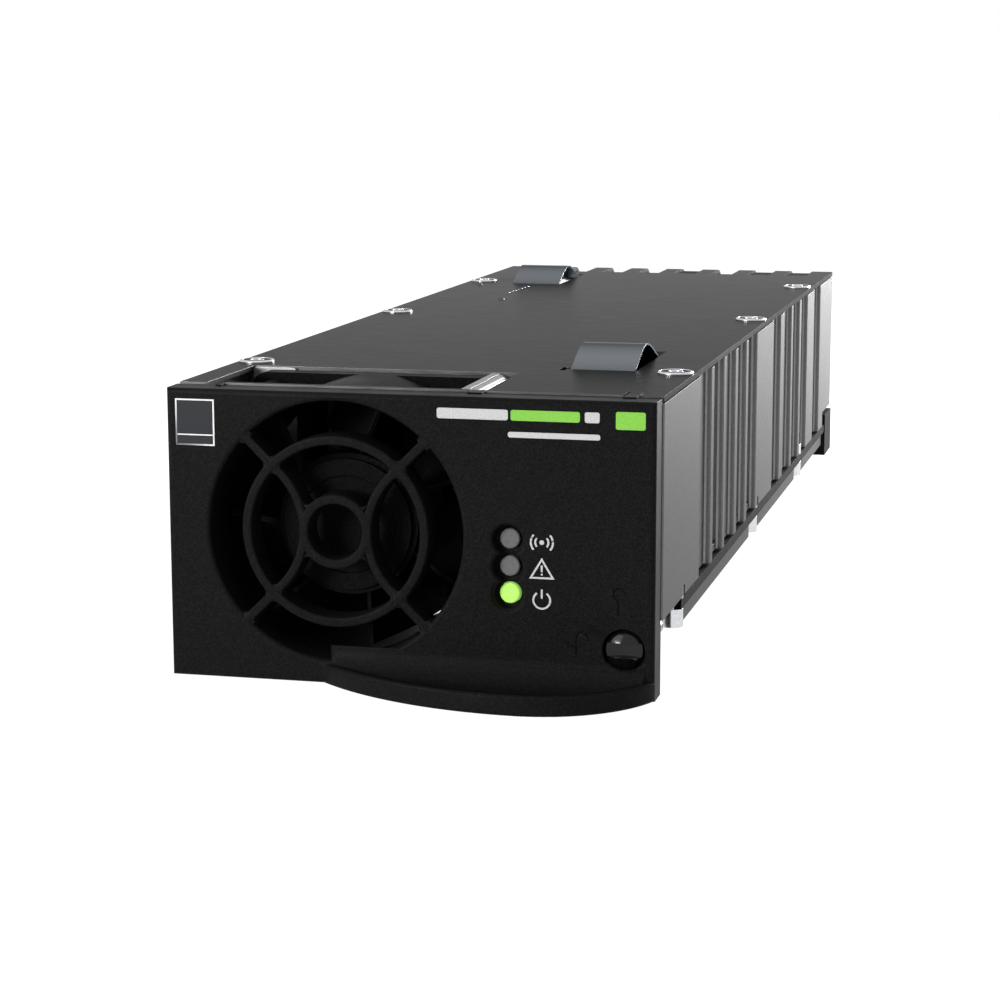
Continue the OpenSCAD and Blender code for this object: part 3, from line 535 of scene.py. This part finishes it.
class RECTIFIER_OT_marks(bpy.types.Operator):
    """Print the symbols beside the lights and the plain fields of the face"""

    bl_idname = "rectifier.marks"
    bl_label = "Print the Marks"

    def symbols(self, bm, marks):
        x, line, top = marks.symbol_x, marks.line_width, -marks.ink_height
        # signal: a dot between two pairs of waves
        plate(bm, arc(x, SIGNAL_Z, 0.34, 0, 337.5, 15), top, 0)
        for side in (0, 180):
            for radius in (0.95, 1.6):
                stroke(bm, arc(x, SIGNAL_Z, radius, side - 42, side + 42, 10), line, top, 0)
        # fault: a triangle with its mark
        corners = [(x - 1.6, 17.2), (x + 1.6, 17.2), (x, 19.85)]
        stroke(bm, corners, line, top, 0, closed=True)
        plate(bm, [(x - 0.13, 18.05), (x + 0.13, 18.05), (x + 0.16, 19.0), (x - 0.16, 19.0)], top, 0)
        plate(bm, arc(x, 17.7, 0.16, 0, 330, 11), top, 0)
        # power: an open ring with its bar
        stroke(bm, arc(x, POWER_Z, 1.22, 125, 415, 30), line, top, 0)
        stroke(bm, [(x, 14.25), (x, 15.55)], line, top, 0)

    def execute(self, context):
        marks = context.scene.rectifier_marks
        top = -marks.ink_height
        bm = bmesh.new()
        self.symbols(bm, marks)
        show("face_symbols", mesh_of("face_symbols", bm), ["pale_ink"])
        for name, ink_name, boxes in (
                ("grey_bars", "pale_ink", GREY_BARS), ("green_bars", "green_ink", GREEN_BARS)):
            bm = bmesh.new()
            for box in boxes:
                plate(bm, round_box(*box, BAR_CORNER), top, 0)
            show(name, mesh_of(name, bm), [ink_name])
        bm = bmesh.new()
        stroke(bm, LABEL_BORDER, BORDER_WIDTH, top, 0, closed=True)
        stroke(bm, LABEL_DIVIDER, DIVIDER_WIDTH, top, 0)
        show("label_border", mesh_of("label_border", bm), ["white_ink"])
        bm = bmesh.new()
        plate(bm, LABEL_FIELD, top * 0.5, 0)
        show("label_field", mesh_of("label_field", bm), ["field_ink"])
        return {"FINISHED"}


# Profiles of a screw's face, rim and socket edge and of a pressed dot: radius and height in mm.
SCREW_FACE = [(0, -0.25), (0.45, -0.25), (0.95, -0.02), (1.0, 0.3), (1.1, 0.34), (2.35, 0.3), (2.4, 0.1), (0, 0.0)]
SCREW_RIM = [(2.3, 0.02), (2.3, 0.33), (2.42, 0.4), (2.6, 0.36), (2.75, 0.2), (2.75, 0.0), (2.3, 0.02)]
SCREW_EYE = [(0.78, 0.2), (0.86, 0.37), (1.02, 0.4), (1.16, 0.34), (1.1, 0.2), (0.78, 0.2)]
DOT = [(0.2, 0.0), (0.17, 0.05), (0.1, 0.08), (0, 0.09)]
# Depths in mm of the cover screws behind the face, the radius of their heads,
# and the turn in radians from each screw to the next.
SCREW_DEPTHS = (30.65, 109.8, 175.7)
HEAD_RADIUS = 2.75
SCREW_TURN = 0.7
# A contact spring in mm: from its slot's front to its foot and to its crest, how far the rear
# foot reaches past the slot, the sheet it is cut from, and how far its ends dip under the cover.
SPRING_FOOT = 1.9
SPRING_CREST = 11.7
SPRING_REACH = 1.2
SPRING_THICK = 0.28
SPRING_DIP = 0.15


class RECTIFIER_OT_cover(bpy.types.Operator):
    """Fit the cover's screw heads, pressed marks and grounding springs"""

    bl_idname = "rectifier.cover"
    bl_label = "Fit the Cover"

    def spring(self, name, node, rise):
        """A leaf with straight legs and a rounded crest, from a slot's front to its rear."""
        low, high = (Vector(corner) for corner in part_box(node))
        sheet = high.z - rise * MM
        front, crest, back = low.y + SPRING_FOOT * MM, low.y + SPRING_CREST * MM, high.y + SPRING_REACH * MM
        steps = 40
        line = []
        for i in range(-steps, steps + 1):
            t = i / steps
            y = crest + (t * (crest - front) if t < 0 else t * (back - crest))
            bell = 0.42 * (1 - t * t) + 0.58 * (1 + math.cos(math.pi * t)) / 2
            line.append(Vector((0, y, sheet - SPRING_DIP * MM + (rise + SPRING_DIP) * MM * bell)))
        line.append(Vector((0, back + 0.9 * MM, sheet - 0.75 * MM)))
        thick = SPRING_THICK * MM
        bm = bmesh.new()
        rows = []
        for i, point in enumerate(line):
            along = (line[min(i + 1, len(line) - 1)] - line[max(i - 1, 0)]).normalized()
            normal = Vector((0, -along.z, along.y))
            rows.append([bm.verts.new((x, *(point - normal * depth).yz)) for x, depth in
                         ((low.x, 0), (high.x, 0), (high.x, thick), (low.x, thick))])
        for a, b in zip(rows, rows[1:]):
            for k in range(4):
                bm.faces.new((a[k], a[(k + 1) % 4], b[(k + 1) % 4], b[k]))
        for end in (rows[0], rows[-1]):
            bm.faces.new(end)
        piece = show(name, mesh_of(name, bm), ["spring"])
        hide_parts(node)

    def execute(self, context):
        cover = context.scene.rectifier_cover
        low, high = (Vector(corner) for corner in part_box("cover_screws"))
        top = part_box("top_cover")[1][2]
        head = HEAD_RADIUS * MM
        rows = [spot(0, y, 0).y for y in SCREW_DEPTHS]
        seats = [(x, y, top) for x in (low.x + head, high.x - head) for y in rows]
        face = turned("screw_face", SCREW_FACE)
        rim = turned("screw_rim", SCREW_RIM)
        eye = turned("screw_eye", SCREW_EYE)
        # Each screw head is one zinc part. Its face takes the darker zinc as painted shade, and the rings over its
        # rim and socket edge take the bright zinc as painted highlights.
        faces = repeat("screw_faces", seats, face, "dull_and_shaded_zinc", turn=SCREW_TURN)
        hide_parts("cover_screws")
        repeat("screw_rims", seats, rim, "zinc", turn=SCREW_TURN)
        repeat("screw_eyes", seats, eye, "zinc", turn=SCREW_TURN)
        dot = turned("dot", DOT, segments=20)
        first, last = spot(-21.4, 151.2, 0), spot(-20.9, 165.5, 0)
        share = max(cover.dots - 1, 1)
        row = [first.lerp(last, i / share) for i in range(cover.dots)]
        marks = [spot(-31.7, 167.7, 0), spot(-19.6, 137.3, 0)]
        repeat("cover_dots", [(p.x, p.y, top) for p in row], dot, "zinc")
        repeat("cover_marks", [(p.x, p.y, top) for p in marks], dot, "dull_and_shaded_zinc", size=3.2)
        self.spring("contact_spring_front", "spring_front", cover.spring_rise)
        self.spring("contact_spring_rear", "spring_rear", cover.spring_rise)
        return {"FINISHED"}


# Depths in mm behind the face: the sheets' front, their rear at the top, their rear lower down,
# and the front of the upright tab. SHEET_FOOT is the height where the sheets end below.
DUCT_FRONT = 6.3
DUCT_TOP_REAR = 25.85
DUCT_REAR = 27.9
TAB_FRONT = 25.35
SHEET_FOOT = 10.8


class RECTIFIER_OT_duct(bpy.types.Operator):
    """Fit the rolled sheets that guide the air beside the fan"""

    bl_idname = "rectifier.duct"
    bl_label = "Fit the Duct"

    def execute(self, context):
        bm = bmesh.new()
        outer = arc(6.6, 39.3, 3.5, 0, 95, 16)
        inner = arc(6.6, 39.3, 3.12, 95, 0, 16)
        for a, b, c, d in zip(outer, outer[1:], inner[::-1], inner[::-1][1:]):
            plate(bm, (a, b, d, c), DUCT_FRONT, DUCT_TOP_REAR)
        for left, right, top in ((9.72, 10.1, 39.3), (-31.4, -31.02, 38.5)):
            outline = [(left, top), (right, top), (right, SHEET_FOOT), (left, SHEET_FOOT)]
            plate(bm, outline, DUCT_FRONT, DUCT_REAR)
        plate(bm, round_box(-31.4, 30.0, -24.6, 42.75, 0.5), TAB_FRONT, DUCT_TOP_REAR)
        piece = show("duct_sheets", mesh_of("duct_sheets", bm), ["rolled"])
        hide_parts("air_baffle")
        return {"FINISHED"}


# Each lamp in metres: name, place, width, height, the setting with its power, and where it points.
MODULE_MIDDLE = (0, 0, 0.02)
LAMPS = (
    ("front_softbox", (-0.7, -0.8, 0.6), 0.9, 0.7, "key_power", MODULE_MIDDLE),
    ("rear_strip", (0.17, 0.34, 0.13), 0.12, 0.2, "strip_power", (0.036, 0.09, 0.03)),
    ("left_softbox", (-0.36, -0.62, 0.16), 0.22, 0.16, "left_power", MODULE_MIDDLE),
    ("top_softbox", (0.0, 0.1, 1.1), 1.0, 1.0, "top_power", MODULE_MIDDLE),
)
# The camera's place in metres, and its yaw, pitch and roll in degrees.
CAMERA_AT = (0.096891, -0.442688, 0.089913)
CAMERA_ANGLES = (13.799, 10.037, -0.098)
SENSOR_WIDTH = 36
# The floor where the camera sees it, and as it lights the module.
FLOOR_MATT, FLOOR_GLOW, FLOOR_PLAIN = 0.2, 0.93, 0.8


class RECTIFIER_OT_stage(bpy.types.Operator):
    """Set the floor, the lamps, the surroundings and the camera"""

    bl_idname = "rectifier.stage"
    bl_label = "Set the Stage"

    def white_to_the_eye(self, tree):
        """A factor that is 1 for rays from the camera, straight or by way of a gloss or a clear part."""
        path = tree.nodes.new("ShaderNodeLightPath")
        seen = path.outputs["Is Camera Ray"]
        for ray in ("Is Glossy Ray", "Is Transmission Ray"):
            either = tree.nodes.new("ShaderNodeMath")
            either.operation = "MAXIMUM"
            tree.links.new(seen, either.inputs[0])
            tree.links.new(path.outputs[ray], either.inputs[1])
            seen = either.outputs[0]
        return seen

    def floor(self, context):
        half = context.scene.rectifier_stage.floor_size / 2
        mesh = bpy.data.meshes.new("floor")
        corners = [(-half, -half, 0), (half, -half, 0), (half, half, 0), (-half, half, 0)]
        mesh.from_pydata(corners, [], [(0, 1, 2, 3)])
        floor = bpy.data.objects.new("floor", mesh)
        context.scene.collection.objects.link(floor)
        material = bpy.data.materials.new("pale_floor_finish")
        material.use_nodes = True
        tree = material.node_tree
        tree.nodes.clear()
        out = tree.nodes.new("ShaderNodeOutputMaterial")
        matt = tree.nodes.new("ShaderNodeBsdfDiffuse")
        matt.inputs["Color"].default_value = colour(FLOOR_MATT)
        glow = tree.nodes.new("ShaderNodeEmission")
        glow.inputs["Color"].default_value = colour(FLOOR_GLOW)
        both = tree.nodes.new("ShaderNodeAddShader")
        plain = tree.nodes.new("ShaderNodeBsdfDiffuse")
        plain.inputs["Color"].default_value = colour(FLOOR_PLAIN)
        mix = tree.nodes.new("ShaderNodeMixShader")
        tree.links.new(matt.outputs[0], both.inputs[0])
        tree.links.new(glow.outputs[0], both.inputs[1])
        tree.links.new(self.white_to_the_eye(tree), mix.inputs[0])
        tree.links.new(plain.outputs[0], mix.inputs[1])
        tree.links.new(both.outputs[0], mix.inputs[2])
        tree.links.new(mix.outputs[0], out.inputs["Surface"])
        mesh.materials.append(material)

    def lamp(self, context, name, at, size, size_y, power, target):
        light = bpy.data.lights.new(name, "AREA")
        light.shape, light.size, light.size_y, light.energy = "RECTANGLE", size, size_y, power
        lamp = bpy.data.objects.new(name, light)
        lamp.location = at
        lamp.rotation_euler = (Vector(target) - Vector(at)).to_track_quat("-Z", "Y").to_euler()
        lamp.visible_camera = False
        context.scene.collection.objects.link(lamp)

    def surroundings(self, context):
        world = bpy.data.worlds.new("studio")
        world.use_nodes = True
        tree = world.node_tree
        tree.nodes.clear()
        out = tree.nodes.new("ShaderNodeOutputWorld")
        room, white, mix = (tree.nodes.new(kind) for kind in (
            "ShaderNodeBackground", "ShaderNodeBackground", "ShaderNodeMixShader"))
        room.inputs["Color"].default_value = white.inputs["Color"].default_value = colour(1)
        room.inputs["Strength"].default_value = context.scene.rectifier_stage.world_level
        white.inputs["Strength"].default_value = 1.0
        tree.links.new(self.white_to_the_eye(tree), mix.inputs[0])
        tree.links.new(room.outputs[0], mix.inputs[1])
        tree.links.new(white.outputs[0], mix.inputs[2])
        tree.links.new(mix.outputs[0], out.inputs["Surface"])
        context.scene.world = world

    def camera(self, context):
        yaw, pitch, roll = (math.radians(a) for a in CAMERA_ANGLES)
        ahead = Vector((-math.sin(yaw) * math.cos(pitch), math.cos(yaw) * math.cos(pitch), -math.sin(pitch)))
        right = Vector((math.cos(yaw), math.sin(yaw), 0))
        up = right.cross(ahead)
        across = right * math.cos(roll) + up * math.sin(roll)
        upright = up * math.cos(roll) - right * math.sin(roll)
        data = bpy.data.cameras.new("camera")
        data.lens, data.sensor_width = context.scene.rectifier_stage.lens, SENSOR_WIDTH
        data.clip_start = 0.01
        camera = bpy.data.objects.new("camera", data)
        turn = Matrix((across, upright, -ahead)).transposed().to_4x4()
        camera.matrix_world = Matrix.Translation(CAMERA_AT) @ turn
        context.scene.collection.objects.link(camera)
        context.scene.camera = camera

    def execute(self, context):
        stage = context.scene.rectifier_stage
        self.floor(context)
        for name, at, width, height, power, target in LAMPS:
            self.lamp(context, name, at, width, height, getattr(stage, power), target)
        self.surroundings(context)
        self.camera(context)
        context.scene.view_settings.view_transform = "Standard"
        return {"FINISHED"}


class RECTIFIER_PT_panel(bpy.types.Panel):
    """Lists the steps in order"""

    bl_label = "Rectifier Module"
    bl_idname = "RECTIFIER_PT_panel"
    bl_space_type = "VIEW_3D"
    bl_region_type = "UI"
    bl_category = "Rectifier"

    def draw(self, context):
        for group in SETTINGS:
            settings = getattr(context.scene, group)
            box = self.layout.box()
            for name in settings.__annotations__:
                box.prop(settings, name)
        for operator in OPERATORS:
            self.layout.operator(operator.bl_idname)


OPERATORS = (RECTIFIER_OT_stage, RECTIFIER_OT_finishes, RECTIFIER_OT_bezel, RECTIFIER_OT_marks,
             RECTIFIER_OT_cover, RECTIFIER_OT_duct)
SETTINGS = {
    "rectifier_finish": RectifierFinishSettings, "rectifier_marks": RectifierMarkSettings,
    "rectifier_cover": RectifierCoverSettings, "rectifier_stage": RectifierStageSettings,
}


def register():
    for made in (*SETTINGS.values(), *OPERATORS, RECTIFIER_PT_panel):
        bpy.utils.register_class(made)
    for name, group in SETTINGS.items():
        setattr(bpy.types.Scene, name, PointerProperty(type=group))


def unregister():
    for name in SETTINGS:
        delattr(bpy.types.Scene, name)
    for made in reversed((*SETTINGS.values(), *OPERATORS, RECTIFIER_PT_panel)):
        bpy.utils.unregister_class(made)


def main():
    register()
    for operator in OPERATORS:
        group, name = operator.bl_idname.split(".")
        getattr(getattr(bpy.ops, group), name)()


if __name__ == "__main__":
    main()
